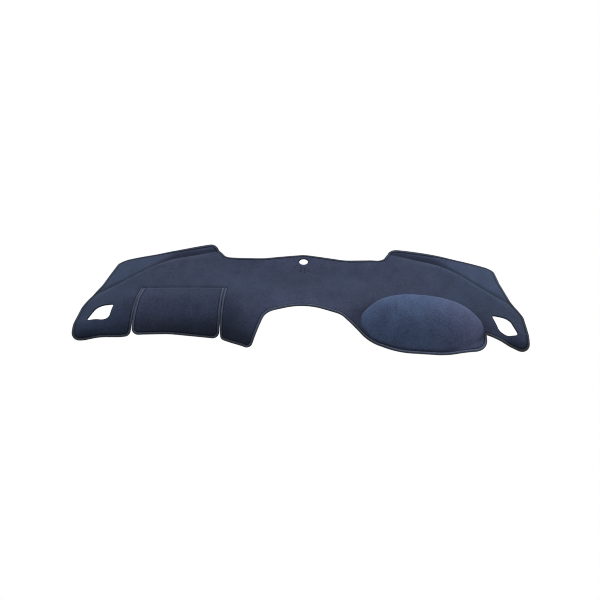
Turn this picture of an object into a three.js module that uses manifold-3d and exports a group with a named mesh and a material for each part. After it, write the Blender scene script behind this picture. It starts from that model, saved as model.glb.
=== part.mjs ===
// Moulded dashboard cover mat, in millimetres, +Z up, rear edge towards +Y.
// One sheet of pile carpet is trimmed flat, its edge is overlocked, and the
// trimmed sheet is then formed over the dashboard's shape. The source works in
// the same order: a flat blank, its cuts, the edge bead, and last the forming.
// A place on the flat blank is (x, s): x along the dashboard from the sensor
// hole, s towards the windscreen. w is the distance above the sheet's middle.

import * as THREE from 'three';
import { mergeVertices } from 'three/addons/utils/BufferGeometryUtils.js';
import Module from 'manifold-3d';

const { smoothstep, degToRad, lerp, clamp } = THREE.MathUtils;
const wasm = await Module();
wasm.setup();
const { Manifold, Mesh } = wasm;

// Sheet and overlocked edge
const SHEET_THICKNESS = 4.5;
const BEAD_WIDTH = 7;
const BEAD_THICKNESS = 6.4;
const BEAD_EDGE_THICKNESS = 4;
const BEAD_CROWN_SHARE = 0.4;
const BEAD_LAP_SHARE = 0.2;

// Top pad: height of its crest, and how it falls towards both ends
const CREST_HEIGHT = 90;
const CROWN_RADIUS = 12500;
const END_START = 480;
const END_RADIUS = 410;
const END_FALL = 110;

// Soft dip behind the crest, in the middle, with a raised strip along the rear edge
const DIP_DEPTH = 13;
const DIP_HALF_LENGTH = 300;
const DIP_FADE = 100;
const DIP_FRONT = 20;
const DIP_BOTTOM = 190;
const STRIP_FOOT = 212;
const STRIP_TOP = 296;

// Moulded creases between the pad and the two rear wings
const CREASE_LINE = 321;
const CREASE_KNEE = 440;
const CREASE_BEND = 42;
const CREASE_SLOPE = 1.05;
const CREASE_DEPTH = 28;
const CREASE_START = 230;
const CREASE_FULL = 450;
const CREASE_FADE_START = 540;
const CREASE_FADE_END = 710;
const CREASE_END_SHARE = 0.2;
const SHOULDER_WIDTH = 75;

// Rear wings: height of the rear edge from the inner corner to the outer one
const WING_EDGE_LINE = 352;
const WING_INNER_X = 310;
const WING_OUTER_X = 656;
const WING_INNER_HEIGHT = 94;
const WING_FALL_POWER = 1.3;
const WING_CURVE_POWER = 1.25;
const WING_MIN_DEPTH = 14;
const WING_SHARE_LIMIT = 1.3;

// Front roll at stations along the mat: the line where it starts, its radius
// and how far it turns down. Left end panel, airbag flap, middle tongue, arch,
// instrument hood and right end panel follow each other.
const ROLL_STATIONS = [
  { x: -640, line: -88, radius: 45, turn: 75 },
  { x: -520, line: 14, radius: 110, turn: 75 },
  { x: -255, line: 14, radius: 110, turn: 75 },
  { x: -130, line: -54, radius: 110, turn: 70 },
  { x: 60, line: -46, radius: 160, turn: 45 },
  { x: 160, line: -42, radius: 300, turn: 38 },
  { x: 530, line: -40, radius: 300, turn: 38 },
  { x: 640, line: -84, radius: 50, turn: 75 },
];

// Instrument hood: a dome on an egg-shaped foot line
const HOOD_X = 370;
const HOOD_S = -115;
const HOOD_LEFT = 183;
const HOOD_RIGHT = 186;
const HOOD_REAR = 115;
const HOOD_FRONT = 96;
const HOOD_HEIGHT = 52;
const HOOD_LEAN = 0.15;
const HOOD_REAR_SHOULDER = 0.5;
const HOOD_FRONT_SHOULDER = 0.95;
const HOOD_SIDE_POWER = 2.4;
const HOOD_SQUARENESS = 2.2;
const HOOD_SHOULDER_BLEND = 0.6;

// Airbag flap: its fold, and how far it stands above the pad
const FOLD_LINE = 57;
const FOLD_WIDTH = 16;
const FLAP_RISE = 3;

// Slits beside the flap: centre line at the closed end and at the open end. The
// sides stay parallel down to the opening share of the length, then part to the foot.
const SLIT_GAP = 1;
const SLIT_FOOT_GAP = 5;
const SLIT_OPENING_SHARE = 0.7;
const LEFT_SLIT = { topX: -499, topS: 56, footX: -518.5, footS: -128 };
const RIGHT_SLIT = { topX: -240.5, topS: 55, footX: -242, footS: -139 };
const SLIT_END_RADIUS = 0.45;
const TONGUE_RADIUS = 21;
const TONGUE_STEP = 3;
const FLAP_CORNER_STEP = 5;
const SLIT_OPENING_RADIUS = 60;

// Side vent cut-outs, with sharp and soft corners in turn
const VENT_TIGHT_RADIUS = 11;
const VENT_SOFT_RADIUS = 26;
const LEFT_VENT = [[-579, -22], [-633, -12], [-653, -92], [-584, -97]];
const RIGHT_VENT = [[588, -28], [643, -21], [662, -101], [607, -125]];

// Sensor hole and the perforations in front of it
const SENSOR_HOLE = { x: -1, s: 255, diameter: 29 };
const PERFORATION_DIAMETER = 3.2;
const PERFORATION_PITCH = 13;
const PERFORATION_STAGGER = 5;
const PERFORATION_COLUMNS = [3, 3, 2];
const PERFORATION_FIRST = { x: -8, s: 222 };

// Mesh fineness and working values
const COLUMN_STEP = 27;
const HOOD_COLUMN_STEP = 18.5;
const EDGE_STEP = 24;
const ARC_STEP = 9;
const ROWS_LIP = 2;
const ROWS_HOOD = 11;
const ROWS_FOLD = 3;
const ROWS_PAD = 9;
const ROWS_WING = 7;
const BLANK_HALF_LENGTH = 731;
const BLANK_FRONT = -256;
const BLANK_REAR = 392;
const BLANK_DISH_RADIUS = 10000;
const HOOD_BLEND_REACH = 1.6;
const ARC_STEPS_PER_RADIUS = 8;
const SENSOR_HOLE_SIDES = 20;
const PERFORATION_SIDES = 8;
const CUTTER_CLEARANCE = 9;
const MERGE_DISTANCE = 1e-4;
const SHARPEST_MITRE = 0.5;

// Outline of the trimmed sheet, counter-clockwise from the left end panel's
// front corner. Each corner is [x, s, radius].
const OUTLINE = [
  // left end panel
  [-693, -149, 32],
  [-640, -161, 100],
  ...slitSide(LEFT_SLIT, -1, 0).reverse(),
  ...slitSide(LEFT_SLIT, 1, TONGUE_STEP),
  // airbag flap
  [-400, -129, 300],
  ...slitSide(RIGHT_SLIT, -1, FLAP_CORNER_STEP).reverse(),
  ...slitSide(RIGHT_SLIT, 1, TONGUE_STEP),
  // middle tongue and arch
  [-142, -202, 15],
  [-100, -80, 60],
  [14, -30, 130],
  [128, -81, 60],
  [212, -188, 120],
  // lip of the instrument hood
  [300, -218, 250],
  [440, -219, 250],
  [563, -189, 48],
  [562, -130, 4],
  // right end panel
  [696, -158, 30],
  [693, 12, 60],
  [666, 111, 120],
  [650, 252, 200],
  [645, 384, 28],
  // right wing, rear middle edge and left wing
  [505, 356, 250],
  [286, 342, 30],
  [262, 267, 25],
  [222, 271, 80],
  [135, 265, 150],
  [0, 290, 60],
  [-135, 267, 200],
  [-262, 268, 25],
  [-305, 350, 30],
  [-510, 346, 200],
  [-649, 382, 30],
  [-659, 160, 200],
  [-688, 2, 50],
];

// Corners down one side of a slit, from its closed end. -1 is its left side and 1
// its right side, and footStep lengthens the tongue beside it.
function slitSide(slit, side, footStep) {
  const middle = { x: slit.topX, s: slit.topS };
  middle.x += (slit.footX - slit.topX) * SLIT_OPENING_SHARE;
  middle.s += (slit.footS - slit.topS) * SLIT_OPENING_SHARE;
  return [
    [slit.topX + (side * SLIT_GAP) / 2, slit.topS, SLIT_END_RADIUS],
    [middle.x + (side * SLIT_GAP) / 2, middle.s, SLIT_OPENING_RADIUS],
    [slit.footX + (side * SLIT_FOOT_GAP) / 2, slit.footS - footStep, TONGUE_RADIUS],
  ];
}

// Value of a roll property at x, eased from station to station.
function rollValue(name, x) {
  let value = ROLL_STATIONS[0][name];
  for (let i = 1; i < ROLL_STATIONS.length; i++) {
    const from = ROLL_STATIONS[i - 1];
    const to = ROLL_STATIONS[i];
    if (x > from.x) value = lerp(from[name], to[name], smoothstep(x, from.x, to.x));
  }
  return value;
}

function crestHeight(x) {
  const beyond = Math.max(Math.abs(x) - END_START, 0);
  const endDrop = beyond ** 2 / (2 * END_RADIUS + beyond ** 2 / END_FALL);
  return CREST_HEIGHT - x ** 2 / (2 * CROWN_RADIUS) - endDrop;
}

// The crease runs straight along the mat, then bends round the knee to the front.
function creaseLine(x) {
  const past = Math.abs(x) - CREASE_KNEE;
  return CREASE_LINE - (CREASE_SLOPE / 2) * (past + Math.hypot(past, CREASE_BEND));
}

function creaseDepth(x) {
  const rise = smoothstep(Math.abs(x), CREASE_START, CREASE_FULL);
  const fade = smoothstep(Math.abs(x), CREASE_FADE_START, CREASE_FADE_END);
  return CREASE_DEPTH * rise * (1 - (1 - CREASE_END_SHARE) * fade);
}

function wingEdgeHeight(x) {
  const share = clamp((Math.abs(x) - WING_INNER_X) / (WING_OUTER_X - WING_INNER_X), 0, 1);
  return WING_INNER_HEIGHT * (1 - share ** WING_FALL_POWER);
}

// Height of the pad and the wings behind the front roll.
function topHeight(x, s) {
  const valley = crestHeight(x) - creaseDepth(x);
  const ahead = creaseLine(x) - s;
  let height;
  if (ahead >= 0) {
    const shoulder = clamp(1 - ahead / SHOULDER_WIDTH, 0, 1);
    height = crestHeight(x) - creaseDepth(x) * shoulder ** 2;
  } else {
    const depth = Math.max(WING_EDGE_LINE - creaseLine(x), WING_MIN_DEPTH);
    const share = Math.min(-ahead / depth, WING_SHARE_LIMIT);
    height = valley + (wingEdgeHeight(x) - valley) * share ** WING_CURVE_POWER;
  }
  const middle = 1 - smoothstep(Math.abs(x), DIP_HALF_LENGTH - DIP_FADE, DIP_HALF_LENGTH);
  const dip = smoothstep(s, DIP_FRONT, DIP_BOTTOM) * (1 - smoothstep(s, STRIP_FOOT, STRIP_TOP));
  return height - DIP_DEPTH * middle * dip;
}

// 0 at the middle of the hood's foot, 1 on its foot line.
function hoodReach(x, s) {
  const across = (x - HOOD_X) / (x < HOOD_X ? HOOD_LEFT : HOOD_RIGHT);
  const along = (s - HOOD_S) / (s < HOOD_S ? HOOD_FRONT : HOOD_REAR);
  const sum = Math.abs(across) ** HOOD_SQUARENESS + Math.abs(along) ** HOOD_SQUARENESS;
  return { across, along, reach: sum ** (1 / HOOD_SQUARENESS) };
}

function hoodHeight(x, s) {
  const { across, along, reach } = hoodReach(x, s);
  const rearShare = smoothstep(along, -HOOD_SHOULDER_BLEND, HOOD_SHOULDER_BLEND);
  const shoulder = lerp(HOOD_FRONT_SHOULDER, HOOD_REAR_SHOULDER, rearShare);
  const inside = clamp((1 - reach) / shoulder, 0, 1);
  return HOOD_HEIGHT * (1 - HOOD_LEAN * across) * (1 - (1 - inside) ** HOOD_SIDE_POWER);
}

// The flap stands a little above the pad, in front of its fold.
function flapHeight(x, s) {
  const down = (LEFT_SLIT.topS - s) / (LEFT_SLIT.topS - LEFT_SLIT.footS);
  const left = lerp(LEFT_SLIT.topX, LEFT_SLIT.footX, down);
  if (x < left || x > lerp(RIGHT_SLIT.topX, RIGHT_SLIT.footX, down)) return 0;
  return FLAP_RISE * (1 - smoothstep(s, FOLD_LINE - FOLD_WIDTH, FOLD_LINE));
}

// Middle of the formed sheet over the place (x, s) of the flat blank.
function formedPoint(x, s) {
  const line = rollValue('line', x);
  const radius = rollValue('radius', x);
  const turn = degToRad(rollValue('turn', x));
  const rolled = Math.max(line - s, 0);
  const angle = Math.min(rolled / radius, turn);
  const straight = rolled - angle * radius;
  const back = radius * Math.sin(angle) + straight * Math.cos(turn);
  const drop = radius * (1 - Math.cos(angle)) + straight * Math.sin(turn);
  const top = topHeight(x, Math.max(s, line)) + hoodHeight(x, s) + flapHeight(x, s);
  return new THREE.Vector3(x, Math.max(s, line) - back, top - drop);
}

function formedNormal(x, s) {
  const step = SHEET_THICKNESS;
  const alongX = formedPoint(x + step, s).sub(formedPoint(x - step, s));
  const alongS = formedPoint(x, s + step).sub(formedPoint(x, s - step));
  return alongX.cross(alongS).normalize();
}

// Corners with radii become straight runs and tangent arcs, as points at most
// EDGE_STEP apart on the runs and about ARC_STEP apart on the arcs.
function filletedPoints(corners) {
  const points = [];
  const count = corners.length;
  const ends = corners.map(([x, s, radius], i) => {
    const corner = new THREE.Vector2(x, s);
    const before = new THREE.Vector2(...corners[(i + count - 1) % count]).sub(corner).normalize();
    const after = new THREE.Vector2(...corners[(i + 1) % count]).sub(corner).normalize();
    const half = Math.acos(clamp(before.dot(after), -1, 1)) / 2;
    const reach = radius / Math.tan(half);
    const centre = before.clone().add(after).normalize().multiplyScalar(radius / Math.sin(half)).add(corner);
    const start = before.multiplyScalar(reach).add(corner);
    const end = after.multiplyScalar(reach).add(corner);
    return { start, end, centre, sweep: Math.PI - 2 * half, radius };
  });
  ends.forEach(({ start, end, centre, sweep, radius }, i) => {
    const arcSteps = Math.max(2, Math.ceil((sweep * radius) / Math.max(ARC_STEP, radius / ARC_STEPS_PER_RADIUS)));
    const from = start.clone().sub(centre).angle();
    const turn = Math.atan2(
      start.clone().sub(centre).cross(end.clone().sub(centre)),
      start.clone().sub(centre).dot(end.clone().sub(centre)),
    );
    for (let k = 0; k <= arcSteps; k++) {
      const angle = from + (turn * k) / arcSteps;
      points.push(new THREE.Vector2(Math.cos(angle), Math.sin(angle)).multiplyScalar(radius).add(centre));
    }
    const next = ends[(i + 1) % count].start;
    const runSteps = Math.ceil(end.distanceTo(next) / EDGE_STEP);
    for (let k = 1; k < runSteps; k++) points.push(end.clone().lerp(next, k / runSteps));
  });
  return points;
}

function circlePoints(x, s, diameter, sides) {
  return Array.from({ length: sides }, (_, k) => {
    const angle = (2 * Math.PI * k) / sides;
    return new THREE.Vector2(x + (diameter / 2) * Math.cos(angle), s + (diameter / 2) * Math.sin(angle));
  });
}

// The flat blank is drawn very slightly dished, so that cutting keeps every
// point of its grid. The dish is taken out again by the forming.
function dish(x, s) {
  return (x ** 2 + s ** 2) / (2 * BLANK_DISH_RADIUS);
}

// Closed solid from a grid of places, between two levels of w.
function gridSolid(grid, low, high) {
  const rows = grid.length;
  const columns = grid[0].length;
  const positions = [];
  const index = [];
  for (const w of [low, high]) {
    for (const row of grid) {
      for (const { x, s } of row) positions.push(x, s, w + dish(x, s));
    }
  }
  const at = (layer, i, j) => layer * rows * columns + i * columns + j;
  for (let i = 0; i + 1 < rows; i++) {
    for (let j = 0; j + 1 < columns; j++) {
      const [a, b, c, d] = [at(1, i, j), at(1, i, j + 1), at(1, i + 1, j + 1), at(1, i + 1, j)];
      const [e, f, g, h] = [at(0, i, j), at(0, i, j + 1), at(0, i + 1, j + 1), at(0, i + 1, j)];
      if (grid[i][j].x < 0) {
        index.push(a, b, c, a, c, d, e, g, f, e, h, g);
      } else {
        index.push(a, b, d, b, c, d, e, h, f, f, h, g);
      }
    }
  }
  const rim = [];
  for (let j = 0; j < columns - 1; j++) rim.push([0, j]);
  for (let i = 0; i < rows - 1; i++) rim.push([i, columns - 1]);
  for (let j = columns - 1; j > 0; j--) rim.push([rows - 1, j]);
  for (let i = rows - 1; i > 0; i--) rim.push([i, 0]);
  rim.forEach(([i, j], k) => {
    const [m, n] = rim[(k + 1) % rim.length];
    index.push(at(0, i, j), at(0, m, n), at(1, m, n), at(0, i, j), at(1, m, n), at(1, i, j));
  });
  const geometry = new THREE.BufferGeometry();
  geometry.setAttribute('position', new THREE.Float32BufferAttribute(positions, 3));
  geometry.setIndex(index);
  return geometry;
}

// Grid of the blank. Its rows follow the hood, the fold of the flap and the
// creases, and round the hood the grid bends into rings that follow its foot line.
function blankGrid() {
  const hoodStart = HOOD_X - HOOD_LEFT;
  const hoodEnd = HOOD_X + HOOD_RIGHT;
  const columns = [
    ...stations(-BLANK_HALF_LENGTH, hoodStart, COLUMN_STEP),
    ...stations(hoodStart, hoodEnd, HOOD_COLUMN_STEP),
    ...stations(hoodEnd, BLANK_HALF_LENGTH, COLUMN_STEP),
    BLANK_HALF_LENGTH,
  ];
  const grid = [];
  const guides = (x) => {
    const fold = Math.min(FOLD_LINE, creaseLine(x) - FOLD_WIDTH);
    return [BLANK_FRONT, HOOD_S - HOOD_FRONT, HOOD_S + HOOD_REAR, fold, creaseLine(x), BLANK_REAR];
  };
  const addRow = (guide, share) => {
    grid.push(columns.map((x) => {
      const lines = guides(x);
      return ringedRoundHood(x, lerp(lines[guide], lines[guide + 1], share));
    }));
  };
  const bands = [ROWS_LIP, ROWS_HOOD, ROWS_FOLD, ROWS_PAD, ROWS_WING];
  bands.forEach((rows, guide) => {
    for (let i = 0; i < rows; i++) addRow(guide, i / rows);
  });
  addRow(bands.length - 1, 1);
  return grid;
}

// Even stations from one place up to, but not including, another.
function stations(from, to, step) {
  const count = Math.ceil((to - from) / step);
  return Array.from({ length: count }, (_, k) => lerp(from, to, k / count));
}

// The rectangle round the hood's foot goes onto the foot line, and rectangles
// further in or out go onto rings inside and outside it, which fade away.
function ringedRoundHood(x, s) {
  const { across, along, reach } = hoodReach(x, s);
  const frame = Math.max(Math.abs(across), Math.abs(along));
  if (frame === 0 || frame >= HOOD_BLEND_REACH) return { x, s };
  const ring = lerp(frame, reach, smoothstep(frame, 1, HOOD_BLEND_REACH));
  return { x: HOOD_X + ((x - HOOD_X) * ring) / reach, s: HOOD_S + ((s - HOOD_S) * ring) / reach };
}

// Prism through the blank, for trimming and cutting.
function cutter(points) {
  const depth = dish(BLANK_HALF_LENGTH, BLANK_REAR) + 2 * CUTTER_CLEARANCE;
  const geometry = new THREE.ExtrudeGeometry(new THREE.Shape(points), { depth, bevelEnabled: false });
  return geometry.translate(0, 0, -CUTTER_CLEARANCE);
}

// Overlocked edge: a closed run of a flat rounded bead, whose outer side lies on the trim line.
function beadGeometry(points) {
  const section = [
    [0, -BEAD_EDGE_THICKNESS / 2],
    [0, BEAD_EDGE_THICKNESS / 2],
    [BEAD_WIDTH * BEAD_CROWN_SHARE, BEAD_THICKNESS / 2],
    [BEAD_WIDTH, 0],
  ];
  const positions = [];
  const index = [];
  const count = points.length;
  points.forEach((point, i) => {
    const inward = inwardAt(points, i);
    for (const [inset, w] of section) {
      const x = point.x + inward.x * inset;
      const s = point.y + inward.y * inset;
      positions.push(x, s, w + dish(x, s));
    }
    const here = i * section.length;
    const next = ((i + 1) % count) * section.length;
    section.forEach((_, k) => {
      const l = (k + 1) % section.length;
      index.push(here + k, next + k, next + l, here + k, next + l, here + l);
    });
  });
  const geometry = new THREE.BufferGeometry();
  geometry.setAttribute('position', new THREE.Float32BufferAttribute(positions, 3));
  geometry.setIndex(index);
  return geometry;
}

// Inward direction at a point of a counter-clockwise outline, halfway between
// its two sides and lengthened so that both sides move in by the same distance.
function inwardAt(points, i) {
  const count = points.length;
  const before = points[i].clone().sub(points[(i + count - 1) % count]).normalize();
  const after = points[(i + 1) % count].clone().sub(points[i]).normalize();
  const inward = new THREE.Vector2(-(before.y + after.y), before.x + after.x).normalize();
  return inward.divideScalar(Math.max(inward.dot(new THREE.Vector2(-after.y, after.x)), SHARPEST_MITRE));
}

function toSolid(geometry) {
  const bare = geometry.clone();
  bare.deleteAttribute('normal');
  bare.deleteAttribute('uv');
  const merged = mergeVertices(bare, MERGE_DISTANCE);
  return new Manifold(new Mesh({
    numProp: 3,
    vertProperties: new Float32Array(merged.attributes.position.array),
    triVerts: new Uint32Array(merged.index.array),
  }));
}

function trimmedBlank() {
  const outline = filletedPoints(OUTLINE);
  const half = SHEET_THICKNESS / 2;
  const lap = BEAD_WIDTH * BEAD_LAP_SHARE;
  const buried = outline.map((point, i) => inwardAt(outline, i).multiplyScalar(lap).add(point));
  let blank = toSolid(gridSolid(blankGrid(), -half, half));
  blank = blank.intersect(toSolid(cutter(buried)));
  blank = blank.add(toSolid(beadGeometry(outline)));
  const cuts = [
    filletedPoints(ventCorners(LEFT_VENT)),
    filletedPoints(ventCorners(RIGHT_VENT)),
    circlePoints(SENSOR_HOLE.x, SENSOR_HOLE.s, SENSOR_HOLE.diameter, SENSOR_HOLE_SIDES),
    ...perforations(),
  ];
  for (const points of cuts) blank = blank.subtract(toSolid(cutter(points)));
  return blank;
}

function ventCorners(corners) {
  return corners.map(([x, s], i) => [x, s, i % 2 === 0 ? VENT_TIGHT_RADIUS : VENT_SOFT_RADIUS]);
}

function perforations() {
  return PERFORATION_COLUMNS.flatMap((count, column) =>
    Array.from({ length: count }, (_, row) => circlePoints(
      PERFORATION_FIRST.x + column * PERFORATION_PITCH,
      PERFORATION_FIRST.s - column * PERFORATION_STAGGER - row * PERFORATION_PITCH,
      PERFORATION_DIAMETER,
      PERFORATION_SIDES,
    )));
}

// Each point of the trimmed blank goes to its place on the formed sheet.
function formed(solid) {
  const mesh = solid.getMesh();
  const positions = new Float32Array(mesh.numVert * 3);
  for (let i = 0; i < mesh.numVert; i++) {
    const [x, s, height] = mesh.vertProperties.slice(i * mesh.numProp, i * mesh.numProp + 3);
    const w = height - dish(x, s);
    formedPoint(x, s).addScaledVector(formedNormal(x, s), w).toArray(positions, i * 3);
  }
  const geometry = new THREE.BufferGeometry();
  geometry.setAttribute('position', new THREE.BufferAttribute(positions, 3));
  geometry.setIndex(new THREE.BufferAttribute(new Uint32Array(mesh.triVerts), 1));
  return geometry;
}

function dashMat() {
  const geometry = formed(trimmedBlank());
  geometry.computeVertexNormals();
  const carpet = new THREE.MeshStandardMaterial({ color: 0x343a52, roughness: 0.95, metalness: 0 });
  const mat = new THREE.Mesh(geometry, carpet);
  mat.name = 'dash_mat';
  return mat;
}

// The origin is at the middle of the base, on the surface that the mat lies on.
const mat = dashMat();
const box = new THREE.Box3().setFromObject(mat);
const middle = box.getCenter(new THREE.Vector3());
mat.position.set(-middle.x, -middle.y, -box.min.z);

const group = new THREE.Group();
group.add(mat);

export default group;
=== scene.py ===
"""Moulded dashboard cover mat of dark blue pile carpet with an overlocked edge.

The mat is one sheet, trimmed flat and then formed over the dashboard. A place on
the flat blank is (x, s): x along the dashboard from the sensor hole, s towards the
windscreen. w is the distance above the sheet's middle. Shapes are worked out in
millimetres and written to the meshes in metres.
"""

import bpy
import numpy as np
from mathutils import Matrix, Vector
from mathutils.geometry import delaunay_2d_cdt


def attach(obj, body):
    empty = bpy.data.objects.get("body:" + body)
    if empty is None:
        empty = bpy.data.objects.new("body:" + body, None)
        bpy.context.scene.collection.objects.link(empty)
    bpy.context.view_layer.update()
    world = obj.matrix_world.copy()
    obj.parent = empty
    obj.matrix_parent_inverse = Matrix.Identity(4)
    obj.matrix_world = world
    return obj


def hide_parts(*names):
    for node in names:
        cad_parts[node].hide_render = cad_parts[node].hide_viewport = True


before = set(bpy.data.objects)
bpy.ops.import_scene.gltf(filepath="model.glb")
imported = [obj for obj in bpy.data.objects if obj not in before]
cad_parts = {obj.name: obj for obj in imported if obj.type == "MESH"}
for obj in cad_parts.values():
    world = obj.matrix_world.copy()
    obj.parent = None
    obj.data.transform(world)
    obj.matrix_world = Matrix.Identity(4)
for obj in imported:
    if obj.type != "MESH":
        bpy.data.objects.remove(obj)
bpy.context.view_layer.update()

# Camera and the row's origin
ORIGIN_SHIFT = np.array([-1.6125, -84.3302, 6.0534])
CAMERA_AZIMUTH = 2.9
CAMERA_ELEVATION = 30.0
CAMERA_DISTANCE = 3.1
CAMERA_TARGET = (-0.00161, -0.08433, 0.09105)
CAMERA_LENS = 60.0

# Stage
WORLD_STRENGTH = 0.35
LIGHT_TARGET = (0.0, -0.03, 0.05)
FLOOR_LEVEL = -0.001
FLOOR_REACH = 15.0

# Sheet
SHEET_THICKNESS = 4.5
HALF = SHEET_THICKNESS / 2

# Top pad
CREST_HEIGHT = 90.0
CROWN_RADIUS = 12500.0
END_START = 480.0
END_RADIUS = 410.0
END_FALL = 110.0

# Soft dip behind the crest
DIP_DEPTH = 13.0
DIP_HALF_LENGTH = 300.0
DIP_FADE = 100.0
DIP_FRONT = 20.0
DIP_BOTTOM = 190.0
STRIP_FOOT = 212.0
STRIP_TOP = 296.0

# Creases between the pad and the rear wings
CREASE_LINE = 321.0
CREASE_KNEE = 440.0
CREASE_BEND = 42.0
CREASE_SLOPE = 1.05
CREASE_DEPTH = 28.0
CREASE_START = 230.0
CREASE_FULL = 450.0
CREASE_FADE_START = 540.0
CREASE_FADE_END = 710.0
CREASE_END_SHARE = 0.2
SHOULDER_WIDTH = 75.0

# Rear wings
WING_EDGE_LINE = 352.0
WING_INNER_X = 310.0
WING_OUTER_X = 656.0
WING_INNER_HEIGHT = 94.0
WING_FALL_POWER = 1.3
WING_CURVE_POWER = 1.25
WING_MIN_DEPTH = 14.0
WING_SHARE_LIMIT = 1.3

# Front roll: x, the line where it starts, its radius, and how far it turns down
ROLL_STATIONS = np.array([
    (-640.0, -88.0, 45.0, 75.0),
    (-520.0, 14.0, 110.0, 75.0),
    (-255.0, 14.0, 110.0, 75.0),
    (-130.0, -54.0, 110.0, 70.0),
    (60.0, -46.0, 160.0, 45.0),
    (160.0, -42.0, 300.0, 38.0),
    (530.0, -40.0, 300.0, 38.0),
    (640.0, -84.0, 50.0, 75.0),
])

# Instrument hood
HOOD_X = 370.0
HOOD_S = -115.0
HOOD_LEFT = 183.0
HOOD_RIGHT = 186.0
HOOD_REAR = 115.0
HOOD_FRONT = 96.0
HOOD_HEIGHT = 52.0
HOOD_LEAN = 0.15
HOOD_REAR_SHOULDER = 0.5
HOOD_FRONT_SHOULDER = 0.95
HOOD_SIDE_POWER = 2.4
HOOD_SQUARENESS = 2.2
HOOD_SHOULDER_BLEND = 0.6

# Airbag flap, its fold and the two slits
FOLD_LINE = 57.0
FOLD_RISE_WIDTH = 11.0
FOLD_GROOVE_DEPTH = 1.5
FOLD_GROOVE_WIDTH = 4.0
FOLD_GROOVE_BEHIND = 2.0
FLAP_CORNER_X = 11.0
FLAP_CORNER_S = 17.0
FLAP_RISE = 3.0
FLAP_BEHIND_FOLD = 20.0
SLIT_GAP = 1.0
SLIT_FOOT_GAP = 5.0
SLIT_OPENING_SHARE = 0.7
SLIT_OPENING_RADIUS = 60.0
LEFT_SLIT = {"top_x": -499.0, "top_s": 56.0, "foot_x": -518.5, "foot_s": -128.0}
RIGHT_SLIT = {"top_x": -240.5, "top_s": 55.0, "foot_x": -242.0, "foot_s": -139.0}
SLIT_END_RADIUS = 0.45
TONGUE_RADIUS = 21.0
TONGUE_STEP = 3.0
FLAP_CORNER_STEP = 5.0

# Vents, sensor hole and perforations
VENT_TIGHT_RADIUS = 11.0
VENT_SOFT_RADIUS = 26.0
LEFT_VENT = ((-579, -22), (-633, -12), (-653, -92), (-584, -97))
RIGHT_VENT = ((588, -28), (643, -21), (662, -101), (607, -125))
SENSOR_HOLE = {"x": -1.0, "s": 255.0, "diameter": 29.0}
PERFORATION_DIAMETER = 3.2
PERFORATION_PITCH = 13.0
PERFORATION_STAGGER = 5.0
PERFORATION_COLUMNS = (3, 3, 2)
PERFORATION_FIRST = (-8.0, 222.0)

# Overlocked edge
BAND_WIDTH = 6.4
BAND_CROWN = 0.75
BAND_PROUD = 0.3
BAND_UNDER = 0.25
BAND_PITCH = 1.9
BAND_SQUARENESS = 0.8
BAND_ANGLES = (172, 150, 125, 100, 75, 50, 25, 0, -25, -50, -75, -100, -130, -160)
PILE_DROP = 1.5
PILE_DROP_START = 7.6
PILE_DROP_END = 11.5
STITCH_PITCH = 2.3
STITCH_RADIUS = 0.92
STITCH_SLANT = 1.6
STITCH_PROUD = 0.05
STITCH_SIDES = 5

# Each stitch's points: their places among BAND_ANGLES, their share of the radius, and stops of
# painted light and shade: a painted highlight on the crown, painted shade round the cut edge and
# under it
STITCH_POINTS = (0, 1, 2, 3, 4, 6, 8, 10)
STITCH_TAPER = np.array([0.55, 0.9, 1, 1, 1, 1, 1, 0.6])
STITCH_PAINTED_LIGHT_AND_SHADE = np.array([-1.2, -0.5, 0.25, 0.25, -0.5, -1.4, -2.0, -2.4])

# Painted light and shade on the pile, as tones in stops lighter or darker. A pair is the range
# over which a tone comes or goes.
HOOD_TONE = 0.75
HOOD_REAR_TONE = 0.65
HOOD_REAR_RANGE = (HOOD_S - 60, HOOD_S + 85)
HOOD_FOOT_TONE = -0.55
HOOD_FOOT_REACH = 0.2
HOOD_FOOT_SIDES = (0.35, 0.9)
VALLEY_TONE = -0.85
VALLEY_CORE = 6.0
VALLEY_FADE = 18.0
VALLEY_START = (258, 320)
VALLEY_WIDENING = (340, 450)
WING_TONE = 0.3
WING_RANGE = (6, 28)
INNER_WING_TONE = 0.45
INNER_WING_END = (390, 470)
WING_TONE_LOSS = 0.5
WING_TONE_LOSS_RANGE = (600, 700)
FRONT_TONE = -0.75
FRONT_ANGLES = (32, 74)
FOLD_TONE = -0.28
FOLD_TONE_BEHIND = 7.0
FOLD_TONE_WIDTH = 11.0
FLAP_SIDE_TONE = 0.35
FLAP_SIDE_RANGE = (0, 70)
FLAP_SIDE_FOLD = (-8, 0)
DISH = {"tone": -0.35, "x": -20.0, "half_x": 95.0, "s": 120.0, "half_s": 45.0}
ARCH_TONE = 0.35
ARCH_HALF_LENGTH = 130.0
ARCH_END = (-10, 70)
# Patches of painted light and shade: painted shade right of the flap and at the right end, painted
# light along the rear middle edge
PAINTED_LIGHT_AND_SHADE_PATCHES = [
    # right of the flap
    {"tone": -0.3, "x_from": (-238, -225), "x_to": (-190, -120), "s_to": (-20, 60)},
    # right end
    {"tone": -0.3, "x_from": (480, 560), "s_to": (60, 160)},
    # rear middle edge
    {"tone": 0.25, "x_from": (-190, -110), "x_to": (240, 290), "s_from": (205, 250)},
]
# Painted light and shade on the thread: a share of the pile's painted tone, and painted shade
# towards the ends and along the rear
THREAD_DARK_SHARE = 2.0
THREAD_LIGHT_SHARE = 0.5
THREAD_FAR_TONE = -0.8
THREAD_END_RANGE = (560, 660)
THREAD_REAR_RANGE = (90, 220)

# Edges of the cut holes: how far in the face rounds off, the height left at the cut, and the range
# of painted shade round the cut
HOLE_ROUNDING = 3.0
HOLE_EDGE_SHARE = 0.15
HOLE_SHADE = (0.8, 4.6)
PERFORATION_ROUNDING = 1.3
PERFORATION_EDGE_SHARE = 0.2
PERFORATION_SHADE = (0.3, 1.9)

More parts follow.
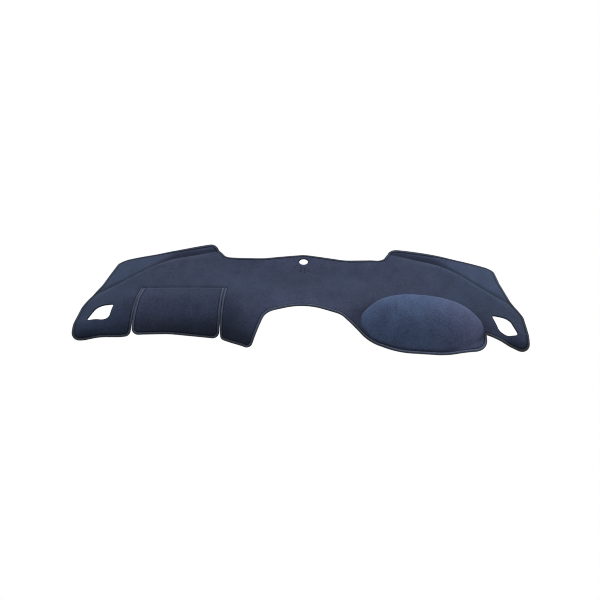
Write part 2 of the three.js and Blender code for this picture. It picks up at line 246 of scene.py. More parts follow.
# Mesh fineness
OUTLINE_STEP = 2.6
GRID_STEP = 5.1
EDGE_RINGS = (6.2, 7.6, 9.0, 10.4, 12.2, 14.4)
BURIED_RING = 3.0
EDGE_CLEARANCE = 17.0
RING_TOLERANCE = 0.15
HOLE_RINGS = (0.5, 1.1, 1.9, 3.0, 4.6, 6.8)
HOLE_CLEARANCE = 9.0
PERFORATION_RINGS = (0.5, 1.3, 2.6)
PERFORATION_CLEARANCE = 4.6
HOOD_FOOT_POINTS = 330
HOOD_FOOT_RINGS = (-7.5, -5, -2.5, 0, 2.5, 5, 7.5)
FOLD_STEP = 3.4
FOLD_ROWS = (-14, -11.5, -9, -6.5, -4, -2, 0, 2, 4, 6, 8.5)
CREASE_STEP = 4.6
CREASE_ROWS = (-4, 0, 4)
CREASE_SPAN = (225, 690)


def slit_side(slit, side, foot_step):
    """Corners down one side of a slit from its closed end. -1 is its left side and 1 its
    right side, and foot_step lengthens the tongue beside it."""
    middle_x = slit["top_x"] + (slit["foot_x"] - slit["top_x"]) * SLIT_OPENING_SHARE
    middle_s = slit["top_s"] + (slit["foot_s"] - slit["top_s"]) * SLIT_OPENING_SHARE
    return [
        (slit["top_x"] + side * SLIT_GAP / 2, slit["top_s"], SLIT_END_RADIUS),
        (middle_x + side * SLIT_GAP / 2, middle_s, SLIT_OPENING_RADIUS),
        (slit["foot_x"] + side * SLIT_FOOT_GAP / 2, slit["foot_s"] - foot_step, TONGUE_RADIUS),
    ]


OUTLINE = (
    # left end panel
    (-693, -149, 32),
    (-640, -161, 100),
    *slit_side(LEFT_SLIT, -1, 0)[::-1],
    *slit_side(LEFT_SLIT, 1, TONGUE_STEP),
    # airbag flap
    (-400, -129, 300),
    *slit_side(RIGHT_SLIT, -1, FLAP_CORNER_STEP)[::-1],
    *slit_side(RIGHT_SLIT, 1, TONGUE_STEP),
    # middle tongue and arch
    (-142, -202, 15),
    (-100, -80, 60),
    (14, -30, 130),
    (128, -81, 60),
    (212, -188, 120),
    # lip of the instrument hood
    (300, -218, 250),
    (440, -219, 250),
    (563, -189, 48),
    (562, -130, 4),
    # right end panel
    (696, -158, 30),
    (693, 12, 60),
    (666, 111, 120),
    (650, 252, 200),
    (645, 384, 28),
    # right wing, rear middle edge and left wing
    (505, 356, 250),
    (286, 342, 30),
    (262, 267, 25),
    (222, 271, 80),
    (135, 265, 150),
    (0, 290, 60),
    (-135, 267, 200),
    (-262, 268, 25),
    (-305, 350, 30),
    (-510, 346, 200),
    (-649, 382, 30),
    (-659, 160, 200),
    (-688, 2, 50),
)


# ---- the formed surface


def smooth(value, low, high):
    """0 at low, 1 at high and an S-shaped cubic between, level beyond. Low may be the larger."""
    t = np.clip((value - low) / (high - low), 0.0, 1.0)
    return t * t * (3.0 - 2.0 * t)


def roll_value(column, x):
    """A roll property at x, eased from station to station."""
    value = np.full_like(x, ROLL_STATIONS[0, column])
    for before, after in zip(ROLL_STATIONS[:-1], ROLL_STATIONS[1:]):
        eased = before[column] + (after[column] - before[column]) * smooth(x, before[0], after[0])
        value = np.where(x > before[0], eased, value)
    return value


def crest_height(x):
    """A shallow arc along the mat, with a rounded fall beyond END_START."""
    beyond = np.maximum(np.abs(x) - END_START, 0.0)
    end_drop = beyond**2 / (2 * END_RADIUS + beyond**2 / END_FALL)
    return CREST_HEIGHT - x**2 / (2 * CROWN_RADIUS) - end_drop


def crease_line(x):
    """Straight along the mat, then bent round the knee towards the front."""
    past = np.abs(x) - CREASE_KNEE
    return CREASE_LINE - CREASE_SLOPE / 2 * (past + np.hypot(past, CREASE_BEND))


def crease_depth(x):
    """Grows from CREASE_START to CREASE_FULL and fades towards the ends."""
    rise = smooth(np.abs(x), CREASE_START, CREASE_FULL)
    fade = smooth(np.abs(x), CREASE_FADE_START, CREASE_FADE_END)
    return CREASE_DEPTH * rise * (1 - (1 - CREASE_END_SHARE) * fade)


def top_height(x, s):
    """Pad before the crease, with a parabolic shoulder, wing behind it, less the soft dip."""
    crest = crest_height(x)
    depth = crease_depth(x)
    ahead = crease_line(x) - s
    shoulder = np.clip(1 - ahead / SHOULDER_WIDTH, 0.0, 1.0)
    pad = crest - depth * shoulder**2
    share_out = np.clip((np.abs(x) - WING_INNER_X) / (WING_OUTER_X - WING_INNER_X), 0.0, 1.0)
    wing_edge = WING_INNER_HEIGHT * (1 - share_out**WING_FALL_POWER)
    wing_depth = np.maximum(WING_EDGE_LINE - crease_line(x), WING_MIN_DEPTH)
    share = np.clip(-ahead / wing_depth, 0.0, WING_SHARE_LIMIT)
    wing = crest - depth + (wing_edge - crest + depth) * share**WING_CURVE_POWER
    middle = 1 - smooth(np.abs(x), DIP_HALF_LENGTH - DIP_FADE, DIP_HALF_LENGTH)
    dip = smooth(s, DIP_FRONT, DIP_BOTTOM) * (1 - smooth(s, STRIP_FOOT, STRIP_TOP))
    return np.where(ahead >= 0, pad, wing) - DIP_DEPTH * middle * dip


def hood_reach(x, s):
    """Place across and along the hood, and its reach: 0 at the foot's middle and 1 on the
    foot line, a superellipse with a size of its own in each quarter."""
    across = (x - HOOD_X) / np.where(x < HOOD_X, HOOD_LEFT, HOOD_RIGHT)
    along = (s - HOOD_S) / np.where(s < HOOD_S, HOOD_FRONT, HOOD_REAR)
    total = np.abs(across) ** HOOD_SQUARENESS + np.abs(along) ** HOOD_SQUARENESS
    return across, along, total ** (1 / HOOD_SQUARENESS)


def hood_height(x, s):
    """A dome whose side rises steeply from the foot line at the rear and gently at the front."""
    across, along, reach = hood_reach(x, s)
    rear_share = smooth(along, -HOOD_SHOULDER_BLEND, HOOD_SHOULDER_BLEND)
    shoulder = HOOD_FRONT_SHOULDER + (HOOD_REAR_SHOULDER - HOOD_FRONT_SHOULDER) * rear_share
    inside = np.clip((1 - reach) / shoulder, 0.0, 1.0)
    return HOOD_HEIGHT * (1 - HOOD_LEAN * across) * (1 - (1 - inside) ** HOOD_SIDE_POWER)


def slit_middle(slit, s):
    """x of a slit's centre line at s."""
    down = (slit["top_s"] - s) / (slit["top_s"] - slit["foot_s"])
    return slit["top_x"] + (slit["foot_x"] - slit["top_x"]) * down


def on_flap(x, s):
    """True between the two slits, up to just behind the fold."""
    between = (x > slit_middle(LEFT_SLIT, s)) & (x < slit_middle(RIGHT_SLIT, s))
    return between & (s < FOLD_LINE + FLAP_BEHIND_FOLD)


def fold_line(x):
    """Fold of the flap: straight, with a quarter of an ellipse down to each slit."""
    left = (x - LEFT_SLIT["top_x"]) / FLAP_CORNER_X
    right = (RIGHT_SLIT["top_x"] - x) / FLAP_CORNER_X
    into = 1 - np.clip(np.minimum(left, right), 0.0, 1.0)
    return FOLD_LINE - FLAP_CORNER_S * (1 - np.sqrt(np.clip(1 - into**2, 0.0, 1.0)))


def flap_height(x, s, flap):
    """The flap stands a little proud in front of its fold, behind a shallow pressed groove."""
    fold = fold_line(x)
    step = FLAP_RISE * (1 - smooth(s, fold - FOLD_RISE_WIDTH, fold))
    inner = smooth(x, LEFT_SLIT["top_x"] + 1, LEFT_SLIT["top_x"] + FLAP_CORNER_X)
    outer = 1 - smooth(x, RIGHT_SLIT["top_x"] - FLAP_CORNER_X, RIGHT_SLIT["top_x"] - 1)
    groove = np.exp(-(((s - fold - FOLD_GROOVE_BEHIND) / FOLD_GROOVE_WIDTH) ** 2))
    return np.where(flap, step, 0.0) - FOLD_GROOVE_DEPTH * groove * inner * outer


def formed(x, s, flap):
    """Middle of the sheet over (x, s), in mm: the top's height, with the front rolled down
    round an arc and then straight."""
    line = roll_value(1, x)
    radius = roll_value(2, x)
    turn = np.radians(roll_value(3, x))
    rolled = np.maximum(line - s, 0.0)
    angle = np.minimum(rolled / radius, turn)
    straight = rolled - angle * radius
    back = radius * np.sin(angle) + straight * np.cos(turn)
    drop = radius * (1 - np.cos(angle)) + straight * np.sin(turn)
    flat = np.maximum(s, line)
    height = top_height(x, flat) + hood_height(x, s) + flap_height(x, s, flap) - drop
    return np.stack([x, flat - back, height], axis=-1)


def formed_normal(x, s, flap, step=1.5):
    """Unit normal of the formed surface, from differences of step mm either way."""
    along_x = formed(x + step, s, flap) - formed(x - step, s, flap)
    along_s = formed(x, s + step, flap) - formed(x, s - step, flap)
    normal = np.cross(along_x, along_s)
    return normal / np.linalg.norm(normal, axis=-1, keepdims=True)


def placed(x, s, w):
    """Point at w mm above the sheet's middle over (x, s), in metres in the row's frame."""
    flap = on_flap(x, s)
    point = formed(x, s, flap) + formed_normal(x, s, flap) * np.asarray(w)[..., None]
    return (point + ORIGIN_SHIFT) / 1000.0


# ---- outlines on the flat blank


def filleted(corners, step):
    """Corners with radii become straight runs and tangent arcs, with points at most step apart."""
    corners = np.array(corners, float)
    place, radius = corners[:, :2], corners[:, 2]
    before = np.roll(place, 1, axis=0) - place
    after = np.roll(place, -1, axis=0) - place
    before /= np.linalg.norm(before, axis=1, keepdims=True)
    after /= np.linalg.norm(after, axis=1, keepdims=True)
    half = np.arccos(np.clip((before * after).sum(1), -1, 1)) / 2
    reach = (radius / np.tan(half))[:, None]
    middle = before + after
    middle /= np.linalg.norm(middle, axis=1, keepdims=True)
    centre = place + middle * (radius / np.sin(half))[:, None]
    start, end = place + before * reach, place + after * reach
    runs = []
    for i in range(len(corners)):
        first, last = start[i] - centre[i], end[i] - centre[i]
        turn = np.arctan2(first[0] * last[1] - first[1] * last[0], first @ last)
        count = max(4, int(np.ceil(abs(turn) * radius[i] / step)))
        angle = np.arctan2(first[1], first[0]) + turn * np.arange(count + 1) / count
        runs.append(centre[i] + radius[i] * np.stack([np.cos(angle), np.sin(angle)], 1))
        nearest = start[(i + 1) % len(corners)]
        count = int(np.ceil(np.linalg.norm(nearest - end[i]) / step))
        share = (np.arange(1, count) / count)[:, None]
        runs.append(end[i] + (nearest - end[i]) * share)
    return np.concatenate(runs)


def circle(x, s, diameter, sides):
    """Even points on a circle, counter-clockwise."""
    angle = 2 * np.pi * np.arange(sides) / sides
    return np.stack([x + diameter / 2 * np.cos(angle), s + diameter / 2 * np.sin(angle)], 1)


def inward_of(loop):
    """Unit inward direction at each point of a counter-clockwise loop."""
    along = np.roll(loop, -1, axis=0) - np.roll(loop, 1, axis=0)
    along /= np.linalg.norm(along, axis=1, keepdims=True)
    return np.stack([-along[:, 1], along[:, 0]], 1)


def chunks(points):
    """Runs of indices short enough to keep the tables of distances small."""
    return np.array_split(np.arange(len(points)), max(1, len(points) // 2000))


def distance_to(points, loop):
    """Distance from each point to the nearest side of a closed loop."""
    start, side = loop, np.roll(loop, -1, axis=0) - loop
    length = (side**2).sum(1) + 1e-12
    nearest = np.empty(len(points))
    for chunk in chunks(points):
        gap = points[chunk, None, :] - start[None]
        share = np.clip((gap * side[None]).sum(2) / length, 0, 1)
        gap -= share[..., None] * side[None]
        nearest[chunk] = np.sqrt((gap**2).sum(2).min(1))
    return nearest


def inside(points, loop):
    """True where a point lies inside a closed loop, by the number of sides crossed."""
    start, end = loop, np.roll(loop, -1, axis=0)
    result = np.zeros(len(points), bool)
    for chunk in chunks(points):
        x, s = points[chunk, 0:1], points[chunk, 1:2]
        spans = (start[:, 1] > s) != (end[:, 1] > s)
        rise = np.where(spans, end[:, 1] - start[:, 1], 1.0)
        cross = start[:, 0] + (s - start[:, 1]) * (end[:, 0] - start[:, 0]) / rise
        result[chunk] = (spans & (x < cross)).sum(1) % 2 == 1
    return result


def vent(corners):
    """Outline of a vent, with tight and soft corners in turn, made counter-clockwise."""
    radii = (VENT_TIGHT_RADIUS, VENT_SOFT_RADIUS) * 2
    loop = filleted([(*c, r) for c, r in zip(corners, radii)], 2.0)
    return loop if area_of(loop) > 0 else loop[::-1]


def area_of(loop):
    """Signed area of a closed loop."""
    x, s = loop[:, 0], loop[:, 1]
    return 0.5 * (x * np.roll(s, -1) - s * np.roll(x, -1)).sum()


def perforations():
    """Small round holes in three staggered columns in front of the sensor hole."""
    first_x, first_s = PERFORATION_FIRST
    return [
        circle(
            first_x + column * PERFORATION_PITCH,
            first_s - column * PERFORATION_STAGGER - row * PERFORATION_PITCH,
            PERFORATION_DIAMETER,
            12,
        )
        for column, count in enumerate(PERFORATION_COLUMNS)
        for row in range(count)
    ]


# ---- the sheet

TRIM = filleted(OUTLINE, OUTLINE_STEP)
VENTS = [vent(LEFT_VENT), vent(RIGHT_VENT)]
SENSOR = circle(SENSOR_HOLE["x"], SENSOR_HOLE["s"], SENSOR_HOLE["diameter"], 48)
PERFORATIONS = perforations()
HOLES = VENTS + [SENSOR]


def far_from(points, others, gap):
    """Points that are more than gap away from every one of the others."""
    keep = np.ones(len(points), bool)
    for chunk in chunks(points):
        apart = ((points[chunk, None] - others[None]) ** 2).sum(2).min(1)
        keep[chunk] = apart > gap**2
    return points[keep]


def guide_points():
    """Places on lines that the mesh follows: hood foot, flap fold and creases."""
    angle = np.linspace(0, 2 * np.pi, HOOD_FOOT_POINTS, endpoint=False)
    cos, sin = np.cos(angle), np.sin(angle)
    power = 2 / HOOD_SQUARENESS
    across = np.sign(cos) * np.abs(cos) ** power * np.where(cos < 0, HOOD_LEFT, HOOD_RIGHT)
    along = np.sign(sin) * np.abs(sin) ** power * np.where(sin < 0, HOOD_FRONT, HOOD_REAR)
    foot = np.stack([HOOD_X + across, HOOD_S + along], 1)
    toward = -inward_of(foot)
    rings = [foot + toward * away for away in HOOD_FOOT_RINGS]
    x = np.arange(LEFT_SLIT["top_x"] + 2, RIGHT_SLIT["top_x"] - 1, FOLD_STEP)
    folds = [np.stack([x, fold_line(x) + away], 1) for away in FOLD_ROWS]
    near, far = CREASE_SPAN
    x = np.concatenate([np.arange(-far, -near, CREASE_STEP), np.arange(near, far, CREASE_STEP)])
    creases = [np.stack([x, crease_line(x) + away], 1) for away in CREASE_ROWS]
    return np.concatenate(rings + folds + creases)


def sheet_places():
    """Places of the trimmed sheet's mesh, its constraint loops, and the depth of each place
    inside the trim line and inside the holes' edges."""
    inward = inward_of(TRIM)
    buried = TRIM + inward * BURIED_RING
    loops = [buried, *HOLES, *PERFORATIONS]
    rings = []
    for away in EDGE_RINGS:
        ring = TRIM + inward * away
        rings.append(ring[distance_to(ring, TRIM) > away - RING_TOLERANCE])
    for hole in HOLES:
        for away in HOLE_RINGS:
            rings.append(hole - inward_of(hole) * away)
    for hole in PERFORATIONS:
        for away in PERFORATION_RINGS:
            rings.append(hole - inward_of(hole) * away)
    rings = np.concatenate(rings)
    extra = guide_points()
    span = np.arange(-700, 700, GRID_STEP)
    rows = np.arange(-230, 390, GRID_STEP * np.sqrt(3) / 2)
    grid_x, grid_s = np.meshgrid(span, rows)
    grid_x = grid_x + (np.arange(len(rows)) % 2)[:, None] * GRID_STEP / 2
    grid = np.stack([grid_x.ravel(), grid_s.ravel()], 1)
    grid = far_from(grid, extra, GRID_STEP * 0.55)
    inner = np.concatenate([extra, grid])
    inner = inner[inside(inner, TRIM)]
    inner = inner[distance_to(inner, TRIM) > EDGE_CLEARANCE]
    for hole in HOLES:
        inner = inner[~inside(inner, hole)]
        inner = inner[distance_to(inner, hole) > HOLE_CLEARANCE]
    for hole in PERFORATIONS:
        inner = inner[distance_to(inner, hole) > PERFORATION_CLEARANCE]
        inner = inner[~inside(inner, hole)]
    return loops, np.concatenate([*loops, rings, inner])


def triangulated(loops, places):
    """Delaunay triangles of the places that lie in the sheet, keeping every loop as an edge."""
    edges = []
    start = 0
    for loop in loops:
        index = start + np.arange(len(loop))
        edges.append(np.stack([index, np.roll(index, -1)], 1))
        start += len(loop)
    edges = np.concatenate(edges).tolist()
    points, _, faces, originals, _, _ = delaunay_2d_cdt(
        [Vector(p) for p in places.tolist()], edges, [], 0, 1e-4
    )
    points = np.array([(p.x, p.y) for p in points])
    faces = np.array(faces)
    on_loop = np.array([any(o < start for o in origin) for origin in originals])
    doubtful = on_loop[faces].all(1)
    centres = points[faces[doubtful]].mean(1)
    keep_doubtful = inside(centres, loops[0])
    for hole in loops[1:]:
        keep_doubtful &= ~inside(centres, hole)
    keep = np.ones(len(faces), bool)
    keep[doubtful] = keep_doubtful
    faces = faces[keep]
    corner = points[faces]
    side_a, side_b = corner[:, 1] - corner[:, 0], corner[:, 2] - corner[:, 0]
    turned = side_a[:, 0] * side_b[:, 1] - side_a[:, 1] * side_b[:, 0] < 0
    faces[turned] = faces[turned][:, ::-1]
    return points, faces


def rounded_off(near, width):
    """Height of a quarter-round beside a cut, as a share: near 0 at the cut and 1 at width."""
    return np.sqrt(1 - (1 - np.clip(near / width, 0.02, 1.0)) ** 2)


def sheet_levels(points):
    """Levels of the sheet's top and underside, and a share of painted shade.

    The pile drops beside the overlocked band, and both faces round off towards a vent or the
    sensor hole, the underside less. The share is painted shade in the groove beside the band,
    where the pile is also pressed down, and round the cut edges of the vents, the sensor hole
    and the perforations."""
    # where the pile drops beside the band, with painted shade in that groove
    pressed_and_shade = 1 - smooth(distance_to(points, TRIM), PILE_DROP_START, PILE_DROP_END)
    top = HALF - PILE_DROP * pressed_and_shade
    under = -HALF * np.ones(len(points))
    shade = pressed_and_shade
    for hole in HOLES:
        near = distance_to(points, hole)
        rounding = rounded_off(near, HOLE_ROUNDING)
        left = HOLE_EDGE_SHARE
        top = np.minimum(top, HALF * (left + (1 - left) * rounding))
        under = np.maximum(under, -HALF * (left + (1 - left) * np.sqrt(rounding)))
        # painted shade round the cut edge of each vent and the sensor hole
        shade = np.maximum(shade, 1 - smooth(near, *HOLE_SHADE))
    for hole in PERFORATIONS:
        near = distance_to(points, hole)
        rounding = rounded_off(near, PERFORATION_ROUNDING)
        left = PERFORATION_EDGE_SHARE
        top = np.minimum(top, HALF * (left + (1 - left) * rounding))
        # painted shade round each perforation
        shade = np.maximum(shade, 1 - smooth(near, *PERFORATION_SHADE))
    return top, under, shade


def lip_corner(x, across, along):
    """1 on the right front corner of the hood's lip."""
    return smooth(across, 0.3, 0.7) * smooth(along, -0.2, -0.6) * smooth(x, 600, 566)


def hood_painted_light(x, s):
    """Painted light over the hood, lightest at the rear, and painted shade beside the hood's
    foot."""
    across, along, reach = hood_reach(x, s)
    on_hood = np.maximum(smooth(reach, 1.01, 0.95), lip_corner(x, across, along))
    light = HOOD_TONE + HOOD_REAR_TONE * smooth(s, *HOOD_REAR_RANGE)
    beside = np.exp(-(np.clip((reach - 1) / HOOD_FOOT_REACH, 0.0, None) ** 2))
    beside *= smooth(np.abs(across), *HOOD_FOOT_SIDES)
    return on_hood * light + (1 - on_hood) * HOOD_FOOT_TONE * beside


def wing_painted_light_and_shade(x, s):
    """Painted shade in the valley behind a crease, and painted light on the wing."""
    out = np.abs(x)
    behind = s - crease_line(x)
    wider = 1 + smooth(out, *VALLEY_WIDENING)
    share = (behind - VALLEY_CORE * wider) / (VALLEY_FADE * wider)
    valley = smooth(behind, -3, 3) * (1 - smooth(share, 0, 1))
    light = WING_TONE + INNER_WING_TONE * (1 - smooth(out, *INNER_WING_END))
    tone = VALLEY_TONE * valley + light * (1 - valley) * smooth(behind, *WING_RANGE)
    loss = WING_TONE_LOSS * smooth(out, *WING_TONE_LOSS_RANGE)
    return tone * smooth(out, *VALLEY_START) * (1 - loss)


def flap_painted_light_and_shade(x, s):
    """Painted shade along the flap's fold, and painted light down the flap's left side."""
    behind = s - fold_line(x)
    at_flap = (x > LEFT_SLIT["top_x"]) & (x < RIGHT_SLIT["top_x"])
    pressed_and_shade = FOLD_TONE * np.exp(-(((behind - FOLD_TONE_BEHIND) / FOLD_TONE_WIDTH) ** 2))
    side = 1 - smooth(x - slit_middle(LEFT_SLIT, s), *FLAP_SIDE_RANGE)
    light = FLAP_SIDE_TONE * side * (1 - smooth(behind, *FLAP_SIDE_FOLD))
    return np.where(at_flap, pressed_and_shade, 0.0) + np.where(on_flap(x, s), light, 0.0)


def front_painted_shade(x, s):
    """Painted shade where the front has rolled down."""
    rolled = np.maximum(roll_value(1, x) - s, 0.0)
    angle = np.minimum(np.degrees(rolled / roll_value(2, x)), roll_value(3, x))
    return FRONT_TONE * smooth(angle, *FRONT_ANGLES)


def patch_painted_light_and_shade(x, s):
    """Patches of painted light and shade: painted shade in the dish, painted light over the arch,
    and those of the list.
    """
    across = (x - DISH["x"]) / DISH["half_x"]
    along = (s - DISH["s"]) / DISH["half_s"]
    tone = DISH["tone"] * np.exp(-(across**2) - along**2)
    tone += ARCH_TONE * np.exp(-((x / ARCH_HALF_LENGTH) ** 2)) * (1 - smooth(s, *ARCH_END))
    for patch in PAINTED_LIGHT_AND_SHADE_PATCHES:
        value = patch["tone"]
        for place, name in ((x, "x"), (s, "s")):
            if f"{name}_from" in patch:
                value = value * smooth(place, *patch[f"{name}_from"])
            if f"{name}_to" in patch:
                value = value * (1 - smooth(place, *patch[f"{name}_to"]))
        tone += value
    return tone


def painted_light_tone(x, s):
    """Painted light and shade at each place, in stops."""
    shapes = hood_painted_light(x, s) + wing_painted_light_and_shade(x, s) + flap_painted_light_and_shade(x, s) + front_painted_shade(x, s)
    return shapes + patch_painted_light_and_shade(x, s)


def painted_light_cast(x, s):
    """Painted colour cast of the light, as a share of the warmer of the pile's two blues: high on
    the middle of the pad and at the right of the hood, low on the right wing and at the left of the
    hood."""
    across, along, reach = hood_reach(x, s)
    pad = 0.25 + 0.55 * smooth(x, -600, -430) * (1 - 0.8 * smooth(x, 330, 500))
    hood = smooth(across, -0.15, 0.95)
    on_hood = np.maximum(smooth(reach, 1.02, 0.95), lip_corner(x, across, along))
    return pad * (1 - on_hood) + hood * on_hood


def mesh_object(name, points, faces, materials, indices=None):
    """A mesh object at the origin with smooth faces."""
    mesh = bpy.data.meshes.new(name)
    mesh.from_pydata(points.tolist(), [], faces.tolist())
    for material in materials:
        mesh.materials.append(material)
    if indices is not None:
        mesh.polygons.foreach_set("material_index", indices.astype(np.int32))
    mesh.polygons.foreach_set("use_smooth", np.ones(len(mesh.polygons), bool))
    mesh.update()
    made = bpy.data.objects.new(name, mesh)
    bpy.context.scene.collection.objects.link(made)
    return made


def point_attribute(piece, name, values):
    """A value per vertex for the material to read."""
    attribute = piece.data.attributes.new(name, "FLOAT", "POINT")
    attribute.data.foreach_set("value", np.asarray(values, np.float32))


def make_sheet(materials):
    """The carpet: a formed top, a formed underside and a wall round every trimmed edge."""
    loops, places = sheet_places()
    points, faces = triangulated(loops, places)
    top, under, shade = sheet_levels(points)
    count = len(points)
    vertices = np.concatenate([
        placed(points[:, 0], points[:, 1], top),
        placed(points[:, 0], points[:, 1], under),
    ])
    sides = np.concatenate([faces[:, [0, 1]], faces[:, [1, 2]], faces[:, [2, 0]]])
    key = sides[:, 0] * count + sides[:, 1]
    back = sides[:, 1] * count + sides[:, 0]
    rim = sides[~np.isin(key, back)]
    walls = np.concatenate([
        np.stack([rim[:, 1], rim[:, 0], rim[:, 0] + count], 1),
        np.stack([rim[:, 1], rim[:, 0] + count, rim[:, 1] + count], 1),
    ])
    all_faces = np.concatenate([faces, faces[:, ::-1] + count, walls])
    indices = np.concatenate([np.zeros(len(faces)), np.ones(len(faces) + len(walls))])
    piece = mesh_object("carpet_sheet", vertices, all_faces, materials, indices)
    # painted shade at the edge groove and round the cut holes
    point_attribute(piece, "pressed_and_shade", np.concatenate([shade, shade]))
    # painted light and shade, in stops
    tone = painted_light_tone(points[:, 0], points[:, 1])
    point_attribute(piece, "tone", np.concatenate([tone, tone]))
    # painted colour cast of the light
    light_cast_warmth = painted_light_cast(points[:, 0], points[:, 1])
    point_attribute(piece, "light_cast_warmth", np.concatenate([light_cast_warmth, light_cast_warmth]))
    return piece


# ---- the overlocked edge

TRIM_SIDES = np.linalg.norm(np.roll(TRIM, -1, axis=0) - TRIM, axis=1)
TRIM_LENGTH = TRIM_SIDES.sum()


def along_trim(distance):
    """Place and inward direction on the trim line at distances along it."""
    travelled = np.concatenate([[0.0], np.cumsum(TRIM_SIDES)])
    closed = np.concatenate([TRIM, TRIM[:1]])
    inward = inward_of(TRIM)
    inward = np.concatenate([inward, inward[:1]])
    at = np.mod(distance, travelled[-1])
    place = np.stack([np.interp(at, travelled, closed[:, i]) for i in (0, 1)], -1)
    turn = np.stack([np.interp(at, travelled, inward[:, i]) for i in (0, 1)], -1)
    turn /= np.linalg.norm(turn, axis=-1, keepdims=True)
    return place, turn


def band_section(proud):
    """Half-round section over the edge: (inset, level) from the top's inner side, over the
    crown and round the cut edge to the underside."""
    angle = np.radians(BAND_ANGLES)
    rise = HALF + np.where(angle > 0, BAND_CROWN, BAND_UNDER) + proud
    inset = BAND_WIDTH / 2 - (BAND_WIDTH / 2 + proud) * np.cos(angle)
    level = rise * np.sign(np.sin(angle)) * np.abs(np.sin(angle)) ** BAND_SQUARENESS
    return inset, level


def make_band(material):
    """The pressed carpet edge under the thread: the section carried along the trim line."""
    inset, level = band_section(BAND_PROUD)
    count = int(TRIM_LENGTH / BAND_PITCH)
    distance = np.arange(count) * TRIM_LENGTH / count
    place, inward = along_trim(distance)
    x = place[:, None, 0] + inward[:, None, 0] * inset[None]
    s = place[:, None, 1] + inward[:, None, 1] * inset[None]
    w = np.broadcast_to(level, x.shape)
    vertices = placed(x, s, w).reshape(-1, 3)
    faces = closed_tubes(1, count, len(inset), True)
    return mesh_object("edge_band", vertices, faces, [material])


def closed_tubes(tubes, rings, sides, joined):
    """Faces of tubes: rings of sides points, with the last ring joined to the first or left
    open."""
    base = np.arange(tubes)[:, None, None] * rings * sides
    ring = np.arange(rings if joined else rings - 1)[None, :, None]
    side = np.arange(sides)[None, None, :]
    here, onward = ring * sides, (ring + 1) % rings * sides
    here, onward = base + here, base + onward
    left, right = side, (side + 1) % sides
    quads = np.stack([here + left, here + right, onward + right, onward + left], -1)
    return quads.reshape(-1, 4)


def tube_vertices(centre, normal, radius, sides):
    """Rings of points round centre lines, with a radius for each point of a line: a ring
    spans the normal and the direction square to it and to the line."""
    along = np.gradient(centre, axis=1)
    along /= np.linalg.norm(along, axis=-1, keepdims=True)
    across = np.cross(along, normal)
    across /= np.linalg.norm(across, axis=-1, keepdims=True)
    upright = np.cross(across, along)
    angle = 2 * np.pi * np.arange(sides) / sides
    ring = (
        np.cos(angle)[None, None, :, None] * upright[:, :, None, :]
        + np.sin(angle)[None, None, :, None] * across[:, :, None, :]
    )
    return centre[:, :, None, :] + ring * radius[None, :, None, None]


def thread_painted_light_and_shade(x, s):
    """Painted light and shade on the thread along the edge, in stops: it follows the pile's
    painted light and shade, with painted shade at the ends and along the rear."""
    pile = painted_light_tone(x, s)
    far = np.maximum(smooth(np.abs(x), *THREAD_END_RANGE), smooth(s, *THREAD_REAR_RANGE))
    dark = THREAD_DARK_SHARE * np.minimum(pile, 0.0)
    return dark + THREAD_LIGHT_SHARE * np.maximum(pile, 0.0) + THREAD_FAR_TONE * far


def make_stitches(material):
    """Overlock stitches: threads that cross the band slantwise, over the edge and under it."""
    points = list(STITCH_POINTS)
    inset, level = [side[points] for side in band_section(BAND_PROUD + STITCH_PROUD)]
    count = int(TRIM_LENGTH / STITCH_PITCH)
    start = np.arange(count)[:, None] * TRIM_LENGTH / count
    slant = STITCH_SLANT * np.linspace(0, 1, len(points))[None]
    place, inward = along_trim(start + slant)
    x = place[..., 0] + inward[..., 0] * inset
    s = place[..., 1] + inward[..., 1] * inset
    centre = placed(x, s, np.broadcast_to(level, x.shape))
    middle = placed(
        place[..., 0] + inward[..., 0] * BAND_WIDTH / 2,
        place[..., 1] + inward[..., 1] * BAND_WIDTH / 2,
        np.zeros(x.shape),
    )
    outward = centre - middle
    outward /= np.linalg.norm(outward, axis=-1, keepdims=True)
    radius = STITCH_RADIUS / 1000 * STITCH_TAPER
    vertices = tube_vertices(centre, outward, radius, STITCH_SIDES).reshape(-1, 3)
    faces = closed_tubes(count, len(points), STITCH_SIDES, False)
    piece = mesh_object("overlock_stitches", vertices, faces, [material])
    # painted highlight and shade on each stitch, with the painted light and shade along the edge
    tone = STITCH_PAINTED_LIGHT_AND_SHADE + thread_painted_light_and_shade(place[..., 0], place[..., 1])
    point_attribute(piece, "tone", np.repeat(tone.ravel(), STITCH_SIDES))
    return piece


# ---- materials


def node_group(name, inputs, outputs):
    """An empty shader node group with its sockets, and its input and output nodes."""
    group = bpy.data.node_groups.new(name, "ShaderNodeTree")
    for label, kind, value in inputs:
        socket = group.interface.new_socket(label, in_out="INPUT", socket_type=kind)
        socket.default_value = value
    for label, kind in outputs:
        group.interface.new_socket(label, in_out="OUTPUT", socket_type=kind)
    return group, group.nodes.new("NodeGroupInput"), group.nodes.new("NodeGroupOutput")


def math_node(tree, operation, *values, clamp=False):
    """A Math node whose inputs are links or plain numbers."""
    node = tree.nodes.new("ShaderNodeMath")
    node.operation = operation
    node.use_clamp = clamp
    for socket, value in zip(node.inputs, values):
        if isinstance(value, (int, float)):
            socket.default_value = value
        else:
            tree.links.new(value, socket)
    return node.outputs[0]


